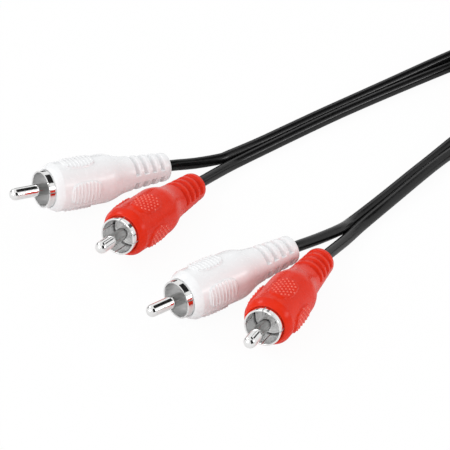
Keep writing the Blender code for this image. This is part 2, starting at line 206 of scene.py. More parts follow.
# Coil of the spare length: the twin on edge, two levels, each wound as a flat spiral.
COIL_CENTRE = Vector((0.1260, 0.0896, 0.0))
COIL_OUTER_RADIUS = 0.0340
COIL_INNER_RADIUS = 0.0240
COIL_LEVEL_TURNS = 3.3
COIL_ENTRY_DEGREES = 118
COIL_STEP_DEGREES = 15
COIL_CLIMB_DEGREES = 60
TIE_ANGLE_DEGREES = 20
TIE_WIDTH = 0.0045
TIE_THICKNESS = 0.0007
TIE_LIFT = 0.0008
TIE_LIFT_REACH = 0.007
TIE_CLEARANCE = 0.0005
TIE_CORNER = 0.0016
TIE_SIDES = 16
TIE_FLATNESS = 0.35
TIE_ROUNDNESS = 0.7

CORD_INSIDE_PLUG = 0.0050
CORD_STRAIGHT_OUTSIDE = 0.0010

# Studio. The dark cards make the black lines on the bright metal.
FLOOR_Z = -0.0002
FLOOR_HALF = 3.0
CARD_DISTANCE = 0.8
WORLD_SHADE = 0.78
FLOOR_GLOW = 0.95

# The cards' corners: turn from +Y towards +X and height, in degrees, as seen from the plugs.
DARK_CARDS = {
    "card_above": ((98, 46), (70, 41), (22, 40), (12, 45), (16, 60), (60, 75), (110, 62)),
    "card_behind": ((60, 21), (50, 28), (44, 31), (46, 35), (60, 28)),
    "card_behind_small": ((26, 33.8), (15, 33.2), (15, 37), (26, 37)),
    "card_front_right": ((166, 0), (124, 0), (124, 30), (124, 58), (160, 64), (176, 46)),
    "card_low_right": ((130, 0), (100, 0), (102, 5), (118, 7), (130, 8)),
    "card_left": ((-80, 26), (-62, 16), (-42, 22), (-44, 30), (-64, 28)),
    "card_back_left": ((-62, 0), (-24, 2), (-24, 12), (-62, 9)),
    "card_back_low": ((-15, 0), (-1, 0), (1, 14), (-6, 17), (-13, 8)),
}


def smoothstep(low, high, value):
    t = min(1.0, max(0.0, (value - low) / (high - low)))
    return t * t * (3.0 - 2.0 * t)


# Materials


def new_material(name, base, roughness, metallic=0.0):
    material = bpy.data.materials.new(name)
    material.use_nodes = True
    shader = material.node_tree.nodes["Principled BSDF"]
    shader.inputs["Base Color"].default_value = (*base, 1.0)
    shader.inputs["Roughness"].default_value = roughness
    shader.inputs["Metallic"].default_value = metallic
    return material


def noise_on(material, scale, detail):
    """A noise in the piece's own coordinates. The scale is in bumps per metre."""
    nodes = material.node_tree.nodes
    place = nodes.new("ShaderNodeTexCoord")
    noise = nodes.new("ShaderNodeTexNoise")
    noise.inputs["Scale"].default_value = scale
    noise.inputs["Detail"].default_value = detail
    material.node_tree.links.new(place.outputs["Object"], noise.inputs["Vector"])
    return noise.outputs["Fac"]


def colour_between(material, factor, low, high):
    nodes = material.node_tree.nodes
    ramp = nodes.new("ShaderNodeValToRGB")
    ramp.color_ramp.elements[0].position = 0.3
    ramp.color_ramp.elements[0].color = (*low, 1.0)
    ramp.color_ramp.elements[1].position = 0.7
    ramp.color_ramp.elements[1].color = (*high, 1.0)
    material.node_tree.links.new(factor, ramp.inputs["Fac"])
    shader = nodes["Principled BSDF"]
    material.node_tree.links.new(ramp.outputs["Color"], shader.inputs["Base Color"])


def roughness_between(material, factor, low, high):
    nodes = material.node_tree.nodes
    spread = nodes.new("ShaderNodeMapRange")
    spread.inputs["From Min"].default_value = 0.3
    spread.inputs["From Max"].default_value = 0.7
    spread.inputs["To Min"].default_value = low
    spread.inputs["To Max"].default_value = high
    material.node_tree.links.new(factor, spread.inputs["Value"])
    shader = nodes["Principled BSDF"]
    material.node_tree.links.new(spread.outputs["Result"], shader.inputs["Roughness"])


def bumps(material, factor, height):
    nodes = material.node_tree.nodes
    bump = nodes.new("ShaderNodeBump")
    bump.inputs["Strength"].default_value = 1.0
    bump.inputs["Distance"].default_value = height
    material.node_tree.links.new(factor, bump.inputs["Height"])
    shader = nodes["Principled BSDF"]
    material.node_tree.links.new(bump.outputs["Normal"], shader.inputs["Normal"])


def moulded_pvc(name, low, high, gloss):
    """Smooth soft PVC with faint flow marks and the fine grain of its mould."""
    material = new_material(name, high, 0.26)
    colour_between(material, noise_on(material, 260, 3), low, high)
    roughness_between(material, noise_on(material, 900, 2), 0.22, 0.30)
    bumps(material, noise_on(material, 5200, 2), 0.000004)
    shader = material.node_tree.nodes["Principled BSDF"]
    shader.inputs["Specular IOR Level"].default_value = gloss
    return material


def bright_nickel():
    """Mirror-bright plating with faint handling haze."""
    material = new_material("bright_nickel_plate", (0.80, 0.80, 0.795), 0.07, 1.0)
    colour_between(material, noise_on(material, 500, 2), (0.77, 0.77, 0.765), (0.82, 0.82, 0.815))
    roughness_between(material, noise_on(material, 1400, 3), 0.05, 0.10)
    bumps(material, noise_on(material, 900, 1), 0.0000012)
    return material


def satin_nickel():
    """The sleeve's inside: drawn and plated, so softer than its polished outside; its lighter base is painted
    light.
    """
    # The base is lighter than the outside's nickel: painted light that brightens the shaded inside of the
    # sleeve.
    material = new_material("satin_nickel_bore_painted_light", (0.88, 0.88, 0.88), 0.34, 1.0)
    colour_between(material, noise_on(material, 600, 2), (0.86, 0.86, 0.86), (0.90, 0.90, 0.90))
    roughness_between(material, noise_on(material, 1600, 2), 0.30, 0.38)
    bumps(material, noise_on(material, 2400, 2), 0.000002)
    return material


def pale_nylon():
    material = new_material("bush_nylon", (0.81, 0.81, 0.805), 0.5)
    colour_between(material, noise_on(material, 1500, 4), (0.78, 0.78, 0.775), (0.84, 0.84, 0.835))
    roughness_between(material, noise_on(material, 2500, 2), 0.42, 0.55)
    bumps(material, noise_on(material, 7000, 2), 0.000006)
    return material


def cord_pvc():
    """Satin black sheath with a faint draw grain."""
    material = new_material("cord_sheath_pvc", (0.004, 0.004, 0.004), 0.20)
    colour_between(material, noise_on(material, 700, 3), (0.003, 0.003, 0.003), (0.005, 0.005, 0.0055))
    roughness_between(material, noise_on(material, 1200, 3), 0.17, 0.24)
    bumps(material, noise_on(material, 3500, 2), 0.000006)
    material.node_tree.nodes["Principled BSDF"].inputs["Specular IOR Level"].default_value = 0.30
    return material


def tie_rubber():
    material = new_material("tie_rubber", (0.03, 0.03, 0.032), 0.6)
    colour_between(material, noise_on(material, 1800, 4), (0.022, 0.022, 0.024), (0.04, 0.04, 0.042))
    roughness_between(material, noise_on(material, 1800, 2), 0.5, 0.7)
    bumps(material, noise_on(material, 4000, 2), 0.00002)
    return material


def inner_polythene():
    material = new_material("inner_polythene", (0.80, 0.79, 0.74), 0.5)
    colour_between(material, noise_on(material, 900, 3), (0.76, 0.75, 0.70), (0.82, 0.81, 0.77))
    roughness_between(material, noise_on(material, 1500, 2), 0.45, 0.58)
    return material


def tinned_copper():
    material = new_material("tinned_copper_wire", (0.72, 0.45, 0.32), 0.35, 1.0)
    colour_between(material, noise_on(material, 2600, 3), (0.66, 0.40, 0.28), (0.76, 0.62, 0.52))
    roughness_between(material, noise_on(material, 2600, 2), 0.28, 0.42)
    return material


# Shapes


def joined_to_body(obj, material, slot, *nodes):
    """Finishes a piece: its material, the body that it rides on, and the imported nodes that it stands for."""
    obj.data.materials.clear()
    obj.data.materials.append(material)
    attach(obj, "root")
    if nodes:
        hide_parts(*nodes)


def as_mesh(obj, name, matrix=None):
    """The evaluated shape of obj as a plain mesh object at the origin. The first object is removed."""
    graph = bpy.context.evaluated_depsgraph_get()
    mesh = bpy.data.meshes.new_from_object(obj.evaluated_get(graph), depsgraph=graph)
    mesh.name = name
    if matrix:
        mesh.transform(matrix)
    bpy.data.objects.remove(obj)
    made = bpy.data.objects.new(name, mesh)
    bpy.context.scene.collection.objects.link(made)
    return made


def turned(name, outline, segments, closed=True):
    """A piece turned about +Z, its outline running down the outer side."""
    corners = [(radius, 0.0, z) for radius, z in outline]
    edges = [(i, i + 1) for i in range(len(corners) - 1)]
    if closed:
        edges.append((len(corners) - 1, 0))
    mesh = bpy.data.meshes.new(name)
    mesh.from_pydata(corners, edges, [])
    obj = bpy.data.objects.new(name, mesh)
    bpy.context.scene.collection.objects.link(obj)
    screw = obj.modifiers.new("turn", "SCREW")
    screw.axis = "Z"
    screw.angle = math.tau
    screw.steps = segments
    screw.render_steps = segments
    screw.use_merge_vertices = True
    screw.merge_threshold = 0.000002
    return obj


def plug_pose(name):
    """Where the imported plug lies, from its heading, tilt and roll and the middle of its sleeve."""
    _, heading_degrees, tilt_degrees, roll_degrees = PLUGS[name]
    heading = math.radians(heading_degrees)
    tilt = math.radians(tilt_degrees)
    level = Vector((-math.cos(heading), -math.sin(heading), 0.0))
    nose = level * math.cos(tilt) + Vector((0.0, 0.0, math.sin(tilt)))
    side = Vector((math.sin(heading), -math.cos(heading), 0.0))
    upward = nose.cross(side)
    turn = Matrix((side, upward, nose)).transposed().to_4x4()
    low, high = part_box(name + "_ground_sleeve")
    base = (low + high) / 2 - nose * (RIM_Z + SLEEVE_END_Z) / 2
    return Matrix.Translation(base) @ turn @ Matrix.Rotation(math.radians(roll_degrees), 4, "Z")


# Housing


def rounded(centre, radius, start_degrees, end_degrees, steps):
    """Points of an arc in an outline's plane, as (radius, z)."""
    points = []
    for i in range(steps + 1):
        angle = math.radians(start_degrees + (end_degrees - start_degrees) * i / steps)
        points.append((centre[0] + radius * math.cos(angle), centre[1] + radius * math.sin(angle)))
    return points


def evenly(start, end, spacing):
    """Values from start towards end, without the end itself."""
    count = max(1, round(abs(end - start) / spacing))
    return [start + (end - start) * i / count for i in range(count)]


def hard_radius(z):
    """Outer radius of the plain barrel, its shoulder, and the tapered strain relief."""
    if z > -BARREL_LENGTH:
        return BARREL_RADIUS
    if z > RELIEF_START_Z:
        share = (-BARREL_LENGTH - z) / NECK_LENGTH
        return NECK_RADIUS + (BARREL_RADIUS - NECK_RADIUS) * (1.0 - share) ** SHOULDER_CURVE
    share = (RELIEF_START_Z - z) / RELIEF_LENGTH
    return NECK_RADIUS + (RELIEF_END_RADIUS - NECK_RADIUS) * share


def barrel_radius(z):
    """The outer radius with its corners eased, as the mean over a short stretch."""
    samples = 9
    offsets = [SHOULDER_EASE * (2 * i / (samples - 1) - 1) for i in range(samples)]
    return sum(hard_radius(z + offset) for offset in offsets) / samples


def groove_depth(angle, z):
    """Depth of the relief's grooves here: steep towards the nose, sloping out behind, none on the spines."""
    across = abs(NECK_RADIUS * math.sin(angle))
    half = SPINE_WIDTH / 2
    opening = smoothstep(half - SPINE_EDGE_INNER, half + SPINE_EDGE_OUTER, across)
    if opening == 0.0:
        return 0.0
    deepest = 0.0
    for i in range(GROOVE_COUNT):
        share = (RELIEF_START_Z - GROOVE_START - GROOVE_PITCH * i - z) / GROOVE_WIDTH
        deepest = max(deepest, smoothstep(*GROOVE_FRONT, share) * smoothstep(*GROOVE_BACK, share))
    return GROOVE_DEPTH * deepest * opening


def pad_rise(angle, z, height):
    """How far the oval grip pads stand out here."""
    quarter = math.tau / PAD_COUNT
    turn = (angle + quarter / 2) % quarter - quarter / 2
    along = abs(z + PAD_CENTRE) / (PAD_LENGTH / 2)
    across = abs(BARREL_RADIUS * turn) / (PAD_WIDTH / 2)
    reach = (along**PAD_SQUARENESS + across**PAD_SQUARENESS) ** (1 / PAD_SQUARENESS)
    return height * smoothstep(*PAD_EDGE, reach)


def housing_outline():
    """Rows of the housing as (radius, z, outer), from the nose down its outside and back up the bore."""
    nose_corner = 0.00012
    lip = BARREL_RADIUS - NOSE_BEVEL
    rows = [(BORE_RADIUS + nose_corner, FACE_Z, False)]
    rows.append((lip - EDGE_ROUNDING, FACE_Z, False))
    steps = 9
    for i in range(steps + 1):
        share = i / steps
        bulge = NOSE_BULGE * math.sin(math.pi * share)
        radius = lip + (NOSE_BEVEL - EDGE_ROUNDING) * share + bulge
        z = FACE_Z - EDGE_ROUNDING - (FACE_Z + NOSE_EDGE_DROP - EDGE_ROUNDING) * share + bulge
        rows.append((radius, z, False))
    barrel_top = -NOSE_EDGE_DROP - EDGE_ROUNDING * 2
    barrel_heights = (barrel_top, barrel_top - EDGE_ROUNDING, BARREL_ROW_Z)
    rows += [(BARREL_RADIUS, z, True) for z in barrel_heights]
    pad_top = -PAD_CENTRE + PAD_LENGTH * PAD_ROWS_REACH
    pad_bottom = -PAD_CENTRE - PAD_LENGTH * PAD_ROWS_REACH
    heights = evenly(pad_top, pad_bottom, PAD_ROW_STEP)
    heights += evenly(pad_bottom, RELIEF_START_Z, SHOULDER_ROW_STEP)
    grooves_end = RELIEF_START_Z - GROOVE_START - GROOVE_PITCH * GROOVE_COUNT
    heights += evenly(RELIEF_START_Z, grooves_end, GROOVE_ROW_STEP)
    heights += evenly(grooves_end, RELIEF_END_Z + RELIEF_ROUNDING, RELIEF_ROW_STEP)
    rows += [(barrel_radius(z), z, True) for z in heights]
    corner = (RELIEF_END_RADIUS - RELIEF_ROUNDING, RELIEF_END_Z + RELIEF_ROUNDING)
    rows += [(radius, z, False) for radius, z in rounded(corner, RELIEF_ROUNDING, 0, -90, 8)]
    rows.append((CORD_BORE_RADIUS + MOUTH_EDGE, RELIEF_END_Z, False))
    rows.append((CORD_BORE_RADIUS, RELIEF_END_Z + MOUTH_EDGE, False))
    rows.append((CORD_BORE_RADIUS, CAVITY_END_Z, False))
    rows.append((CAVITY_RADIUS, CAVITY_END_Z, False))
    rows.append((CAVITY_RADIUS, SLEEVE_END_Z - GAP, False))
    rows.append((BORE_RADIUS, SLEEVE_END_Z - GAP, False))
    rows.append((BORE_RADIUS, FACE_Z - nose_corner, False))
    return rows


def housing_shape(name, pad_height):
    """The whole moulding as one closed surface: barrel with its pads, shoulder, and grooved relief."""
    rows = housing_outline()
    shape = bmesh.new()
    rings = []
    for radius, z, outer in rows:
        ring = []
        for k in range(HOUSING_COLUMNS):
            angle = math.tau * k / HOUSING_COLUMNS
            here = radius
            if outer and z > -BARREL_LENGTH:
                here += pad_rise(angle, z, pad_height)
            elif outer and z < RELIEF_START_Z + GROOVE_LEAD:
                here -= groove_depth(angle, z)
            ring.append(shape.verts.new((here * math.cos(angle), here * math.sin(angle), z)))
        rings.append(ring)
    for i, ring in enumerate(rings):
        below = rings[(i + 1) % len(rings)]
        for k in range(HOUSING_COLUMNS):
            beside = (k + 1) % HOUSING_COLUMNS
            shape.faces.new((ring[k], below[k], below[beside], ring[beside]))
    bmesh.ops.recalc_face_normals(shape, faces=shape.faces)
    mesh = bpy.data.meshes.new(name)
    shape.to_mesh(mesh)
    shape.free()
    mesh.shade_smooth()
    return mesh


# Grip patterns, made flat and then bent round the barrel


class PatternTree:
    """A Geometry Nodes tree with named number inputs, for one kind of repeated relief on the grip pads."""

    def __init__(self, name, inputs):
        self.tree = bpy.data.node_groups.new(name, "GeometryNodeTree")
        face = self.tree.interface
        face.new_socket(name="Geometry", in_out="OUTPUT", socket_type="NodeSocketGeometry")
        face.new_socket(name="Geometry", in_out="INPUT", socket_type="NodeSocketGeometry")
        self.identifiers = {}
        for label in inputs:
            socket = face.new_socket(name=label, in_out="INPUT", socket_type="NodeSocketFloat")
            self.identifiers[label] = socket.identifier
        paint = face.new_socket(name="Plastic", in_out="INPUT", socket_type="NodeSocketMaterial")
        self.identifiers["Plastic"] = paint.identifier
        self.given = self.tree.nodes.new("NodeGroupInput")
        self.result = self.tree.nodes.new("NodeGroupOutput")

    def size(self, label):
        return self.given.outputs[label]

    def node(self, kind, **inputs):
        made = self.tree.nodes.new(kind)
        for label, value in inputs.items():
            self.feed(made.inputs[label.replace("_", " ")], value)
        return made

    def feed(self, socket, value):
        if isinstance(value, bpy.types.NodeSocket):
            self.tree.links.new(value, socket)
        else:
            socket.default_value = value

    def sum(self, operation, *values):
        made = self.tree.nodes.new("ShaderNodeMath")
        made.operation = operation
        for socket, value in zip(made.inputs, values):
            self.feed(socket, value)
        return made.outputs["Value"]

    def vector(self, x=0.0, y=0.0, z=0.0):
        made = self.tree.nodes.new("ShaderNodeCombineXYZ")
        for label, value in (("X", x), ("Y", y), ("Z", z)):
            self.feed(made.inputs[label], value)
        return made.outputs["Vector"]

    def position(self):
        here = self.tree.nodes.new("GeometryNodeInputPosition")
        parts = self.tree.nodes.new("ShaderNodeSeparateXYZ")
        self.tree.links.new(here.outputs["Position"], parts.inputs["Vector"])
        return parts.outputs["X"], parts.outputs["Y"], parts.outputs["Z"]

    def power_of_share(self, distance, half):
        """(|distance| / half) to the power of the pads' squareness."""
        share = self.sum("DIVIDE", self.sum("ABSOLUTE", distance), half)
        return self.sum("POWER", share, PAD_SQUARENESS)

    def around_barrel(self, pattern):
        """Copies the flat pattern to each pad, bends it round the barrel, and gives it the plastic."""
        radius = self.size("Barrel radius")
        quarter = self.sum("MULTIPLY", radius, math.tau / PAD_COUNT)
        pads = self.node("GeometryNodeMeshLine", Count=PAD_COUNT, Offset=self.vector(y=quarter))
        copies = self.node("GeometryNodeInstanceOnPoints", Points=pads.outputs["Mesh"], Instance=pattern)
        real = self.node("GeometryNodeRealizeInstances", Geometry=copies.outputs["Instances"])
        along, around, out = self.position()
        angle = self.sum("DIVIDE", around, radius)
        reach = self.sum("ADD", radius, out)
        x = self.sum("MULTIPLY", reach, self.sum("COSINE", angle))
        y = self.sum("MULTIPLY", reach, self.sum("SINE", angle))
        z = self.sum("MULTIPLY", self.sum("ADD", along, self.size("Pad centre")), -1.0)
        bent = self.node(
            "GeometryNodeSetPosition",
            Geometry=real.outputs["Geometry"],
            Position=self.vector(x, y, z),
        )
        smooth = self.node("GeometryNodeSetShadeSmooth", Geometry=bent.outputs["Geometry"])
        painted = self.node(
            "GeometryNodeSetMaterial",
            Geometry=smooth.outputs["Geometry"],
            Material=self.size("Plastic"),
        )
        self.tree.links.new(painted.outputs["Geometry"], self.result.inputs["Geometry"])


def rib_tree():
    """Half-round ribs across each pad, as long as the oval is wide there."""
    labels = ["Barrel radius", "Pad centre", "Pad length", "Pad width"]
    ribs = PatternTree("grip_ribs", [*labels, "Rib pitch", "Rib width", "Rib height"])
    first = ribs.sum("MULTIPLY", ribs.size("Rib pitch"), -(RIB_COUNT - 1) / 2)
    line = ribs.node(
        "GeometryNodeMeshLine",
        Count=RIB_COUNT,
        Start_Location=ribs.vector(x=first),
        Offset=ribs.vector(x=ribs.size("Rib pitch")),
    )
    bar = ribs.node("GeometryNodeMeshCylinder", Vertices=16, Side_Segments=14, Radius=0.5, Depth=1.0)
    laid = ribs.node(
        "GeometryNodeTransform",
        Geometry=bar.outputs["Mesh"],
        Rotation=(math.pi / 2, 0.0, 0.0),
    )
    along, _, _ = ribs.position()
    half = ribs.sum("MULTIPLY", ribs.size("Pad length"), 0.5)
    left = ribs.sum("SUBTRACT", 1.0, ribs.power_of_share(along, half))
    share = ribs.sum("POWER", ribs.sum("MAXIMUM", left, RIB_SHORTEST_SHARE), 1 / PAD_SQUARENESS)
    oval_width = ribs.sum("MULTIPLY", share, ribs.size("Pad width"))
    chord = ribs.sum("MULTIPLY", oval_width, RIB_CHORD_SHARE)
    rise = ribs.sum("MULTIPLY", ribs.size("Rib height"), 2.0)
    bars = ribs.node(
        "GeometryNodeInstanceOnPoints",
        Points=line.outputs["Mesh"],
        Instance=laid.outputs["Geometry"],
        Scale=ribs.vector(ribs.size("Rib width"), chord, rise),
    )
    ribs.around_barrel(bars.outputs["Instances"])
    return ribs


def dot_tree():
    """Low domes on each pad, in a square lattice that stands on its corner."""
    labels = ["Barrel radius", "Pad centre", "Pad length", "Pad width"]
    dots = PatternTree("grip_dots", [*labels, "Dot pitch", "Dot radius", "Dot height"])
    count = DOT_GRID_COUNT
    side = dots.sum("MULTIPLY", dots.size("Dot pitch"), count - 1)
    grid = dots.node("GeometryNodeMeshGrid", Size_X=side, Size_Y=side, Vertices_X=count, Vertices_Y=count)
    lattice = dots.node(
        "GeometryNodeTransform",
        Geometry=grid.outputs["Mesh"],
        Rotation=(0.0, 0.0, math.pi / 4),
    )
    along, around, _ = dots.position()
    lengthwise = dots.power_of_share(along, dots.sum("MULTIPLY", dots.size("Pad length"), 0.5))
    crosswise = dots.power_of_share(around, dots.sum("MULTIPLY", dots.size("Pad width"), 0.5))
    inside = dots.sum("LESS_THAN", dots.sum("ADD", lengthwise, crosswise), DOT_OVAL_SHARE)
    dome = dots.node("GeometryNodeMeshUVSphere", Segments=12, Rings=8, Radius=1.0)
    size = dots.size("Dot radius")
    domes = dots.node(
        "GeometryNodeInstanceOnPoints",
        Points=lattice.outputs["Geometry"],
        Selection=inside,
        Instance=dome.outputs["Mesh"],
        Scale=dots.vector(size, size, dots.size("Dot height")),
    )
    dots.around_barrel(domes.outputs["Instances"])
    return dots


def grip_pattern(name, pattern, sizes, plastic, pose):
    """One plug's four pads of ribs or dots as a plain mesh."""
    base = bpy.data.objects.new(name, bpy.data.meshes.new(name))
    bpy.context.scene.collection.objects.link(base)
    modifier = base.modifiers.new("grip", "NODES")
    modifier.node_group = pattern.tree
    for label, value in sizes.items():
        modifier[pattern.identifiers[label]] = value
    modifier[pattern.identifiers["Plastic"]] = plastic
    return as_mesh(base, name, pose)


# Metal parts and bush


def cut(obj, cutter):
    boolean = obj.modifiers.new("cut", "BOOLEAN")
    boolean.operation = "DIFFERENCE"
    boolean.solver = "EXACT"
    boolean.object = cutter


def soft_edges(obj, width, degrees):
    bevel = obj.modifiers.new("edges", "BEVEL")
    bevel.width = width
    bevel.segments = 2
    bevel.limit_method = "ANGLE"
    bevel.angle_limit = math.radians(degrees)


def ground_sleeve(name, pose):
    """The slotted sleeve: a rolled tube with four slits from its rim, and a flange at its foot."""
    inner = SLEEVE_RADIUS - SLEEVE_WALL
    opening = PIN_RADIUS + 2 * GAP + BUSH_NECK_WALL
    outline = [
        (SLEEVE_RADIUS, RIM_Z),
        (SLEEVE_RADIUS, SLEEVE_END_Z),
        (opening, SLEEVE_END_Z),
        (opening, SLEEVE_END_Z + SLEEVE_FLANGE),
        (inner, SLEEVE_END_Z + SLEEVE_FLANGE),
        (inner, RIM_Z),
    ]
    sleeve = turned(name + "_tube", outline, 96)
    shape = bmesh.new()
    for i in range(SLIT_COUNT):
        angle = math.radians(SLIT_OFFSET_DEGREES) + math.tau * i / SLIT_COUNT
        turn = Matrix.Rotation(angle, 4, "Z")
        out = Matrix.Translation((SLEEVE_RADIUS - SLEEVE_WALL / 2, 0.0, RIM_Z - SLIT_LENGTH / 2 + GAP))
        size = Matrix.Diagonal((SLEEVE_WALL * 4, SLIT_WIDTH, SLIT_LENGTH + 2 * GAP, 1.0))
        bmesh.ops.create_cube(shape, size=1.0, matrix=turn @ out @ size)
    mesh = bpy.data.meshes.new(name + "_slits")
    shape.to_mesh(mesh)
    shape.free()
    slits = bpy.data.objects.new(name + "_slits", mesh)
    bpy.context.scene.collection.objects.link(slits)
    cut(sleeve, slits)
    soft_edges(sleeve, SLEEVE_EDGE, 35)
    bpy.context.view_layer.update()
    made = as_mesh(sleeve, name, pose)
    bpy.data.objects.remove(slits)
    made.data.shade_smooth()
    made.data.set_sharp_from_angle(angle=math.radians(20))
    return made


def line_bore(sleeve, material, pose):
    """Gives the faces inside the sleeve their own finish."""
    sleeve.data.materials.append(material)
    back = pose.inverted()
    limit = SLEEVE_RADIUS - SLEEVE_WALL / 2
    for face in sleeve.data.polygons:
        middle = back @ face.center
        if math.hypot(middle.x, middle.y) < limit and middle.z < RIM_Z - SLEEVE_WALL / 2:
            face.material_index = 1


def centre_pin(name, pose):
    outline = []
    steps = 16
    for i in range(steps + 1):
        angle = math.pi / 2 * i / steps
        outline.append((PIN_RADIUS * math.sin(angle), PIN_TIP_Z - PIN_RADIUS * (1 - math.cos(angle))))
    outline += [
        (PIN_RADIUS, TAIL_START_Z),
        (TAIL_RADIUS, TAIL_START_Z),
        (TAIL_RADIUS, TAIL_END_Z),
        (0.0, TAIL_END_Z),
    ]
    pin = turned(name + "_turned", outline, 64, closed=False)
    made = as_mesh(pin, name, pose)
    made.data.shade_smooth()
    made.data.set_sharp_from_angle(angle=math.radians(40))
    return made


def insulating_bush(name, pose):
    """The bush's face is dished between a raised collar at the pin and a raised edge at the sleeve."""
    outer = SLEEVE_RADIUS - SLEEVE_WALL - GAP
    seat_z = SLEEVE_END_Z + SLEEVE_FLANGE + GAP
    neck = PIN_RADIUS + GAP + BUSH_NECK_WALL
    hole = PIN_RADIUS + BUSH_EDGE
    collar = PIN_RADIUS + BUSH_COLLAR
    rim = outer - BUSH_RIM
    dish_z = BUSH_FACE_Z - BUSH_DISH
    outline = [
        (outer - BUSH_EDGE, BUSH_FACE_Z),
        (outer, BUSH_FACE_Z - BUSH_EDGE),
        (outer, seat_z),
        (neck, seat_z),
        (neck, BUSH_NECK_END_Z),
        (hole, BUSH_NECK_END_Z),
        (hole, BUSH_FACE_Z - BUSH_EDGE),
        (hole + BUSH_EDGE, BUSH_FACE_Z),
        (collar, BUSH_FACE_Z),
        (collar + BUSH_SLOPE, dish_z),
        (rim - BUSH_SLOPE, dish_z),
        (rim, BUSH_FACE_Z),
    ]
    bush = turned(name + "_turned", outline, 72)
    made = as_mesh(bush, name, pose)
    made.data.shade_smooth()
    made.data.set_sharp_from_angle(angle=math.radians(30))
    return made


def build_plug(name, plastics, metals, nylon, patterns):
    colour = PLUGS[name][0]
    plastic = plastics[colour]
    slot = colour + "_pvc"
    pose = plug_pose(name)
    pad_height = WHITE_PAD_HEIGHT if colour == "white" else RED_PAD_HEIGHT
    mesh = housing_shape(name + "_moulding", pad_height)
    mesh.transform(pose)
    moulding = bpy.data.objects.new(name + "_moulding", mesh)
    bpy.context.scene.collection.objects.link(moulding)
    joined_to_body(moulding, plastic, slot, name + "_housing")
    pattern, sizes, grip_plastic = patterns[colour]
    grip = grip_pattern(name + "_grip", pattern, sizes, grip_plastic, pose)
    joined_to_body(grip, grip_plastic, slot)
    sleeve = ground_sleeve(name + "_slotted_sleeve", pose)
    joined_to_body(sleeve, metals["bright"], "bright_nickel", name + "_ground_sleeve")
    line_bore(sleeve, metals["satin"], pose)
    pin = centre_pin(name + "_round_pin", pose)
    joined_to_body(pin, metals["bright"], "bright_nickel", name + "_centre_pin")
    bush = insulating_bush(name + "_dished_bush", pose)
    joined_to_body(bush, nylon, "pale_nylon", name + "_insulating_bush")
    return pose


# Cord


def coil_route():
    """Middle of the twin in the coil: inwards on the lower level, up, and outwards on the upper level."""
    level = STRAND_SPACING + 2 * STRAND_RADIUS
    low = level / 2
    high = low + level
    turn_span = 360 * COIL_LEVEL_TURNS
    total = 2 * turn_span
    shrink = (COIL_OUTER_RADIUS - COIL_INNER_RADIUS) / turn_span
    route = []
    count = round(total / COIL_STEP_DEGREES)
    for i in range(count + 1):
        walked = total * i / count
        angle = math.radians(COIL_ENTRY_DEGREES - walked)
        if walked < turn_span:
            radius = COIL_OUTER_RADIUS - shrink * walked
        else:
            radius = COIL_INNER_RADIUS + shrink * (walked - turn_span)
        climb = smoothstep(turn_span, turn_span + COIL_CLIMB_DEGREES, walked)
        away = math.remainder(angle - math.radians(TIE_ANGLE_DEGREES), math.tau) * radius
        lift = TIE_LIFT * math.exp(-((away / TIE_LIFT_REACH) ** 2))
        spot = COIL_CENTRE + Vector((math.cos(angle), math.sin(angle), 0.0)) * radius
        route.append((spot.x, spot.y, low + (high - low) * climb + lift, 90))
    return route


def twin_route():
    """The whole twin. The lower run is walked backwards, so its lean is turned round."""
    back = [(x, y, z, 180 - lean) for x, y, z, lean in reversed(RUNS["lower"])]
    return [*RUNS["upper"], *coil_route(), *back]


def twin_sides(route):
    """For each point of the route, the middle and the way from it to the white strand."""
    middles = [Vector(point[:3]) for point in route]
    sides = []
    for i, middle in enumerate(middles):
        along = middles[min(i + 1, len(middles) - 1)] - middles[max(i - 1, 0)]
        along.z = 0.0
        along.normalize()
        left = Vector((-along.y, along.x, 0.0))
        lean = math.radians(route[i][3])
        sides.append((middle, left * math.cos(lean) + Vector((0.0, 0.0, math.sin(lean)))))
    return sides


def through(points, steps):
    """Points on a smooth curve through the given ones, with as many steps in each stretch."""
    padded = [2 * points[0] - points[1], *points, 2 * points[-1] - points[-2]]
    curve = []
    for i in range(1, len(padded) - 2):
        before, start, end, after = padded[i - 1 : i + 3]
        for k in range(steps):
            t = k / steps
            straight = 2 * start + (end - before) * t
            bend = (2 * before - 5 * start + 4 * end - after) * t**2
            twist = (3 * start - before - 3 * end + after) * t**3
            curve.append((straight + bend + twist) * 0.5)
    return [*curve, points[-1]]


def strand_piece(name, points):
    curve = bpy.data.curves.new(name, "CURVE")
    curve.dimensions = "3D"
    curve.bevel_depth = STRAND_RADIUS
    curve.bevel_resolution = 6
    curve.use_fill_caps = True
    spline = curve.splines.new("POLY")
    spline.points.add(len(points) - 1)
    for spot, point in zip(spline.points, points):
        spot.co = (*point, 1.0)
    spline.use_smooth = True
    obj = bpy.data.objects.new(name, curve)
    bpy.context.scene.collection.objects.link(obj)
    return obj


def strand_route(colour, side, poses, sides):
    """One channel's whole strand, from its plug at the upper end to its plug at the lower end."""
    ends = []
    for end in ("upper", "lower"):
        plug = f"{end}_{colour}"
        inner = poses[plug] @ Vector((0.0, 0.0, RELIEF_END_Z + CORD_INSIDE_PLUG))
        leaving = poses[plug] @ Vector((0.0, 0.0, RELIEF_END_Z - CORD_STRAIGHT_OUTSIDE))
        ends.append([inner, leaving, *map(Vector, TAILS[plug])])
    twin = [middle + out * side * STRAND_SPACING / 2 for middle, out in sides]
    return through([*ends[0], *twin, *reversed(ends[1])], ROUTE_STEPS)


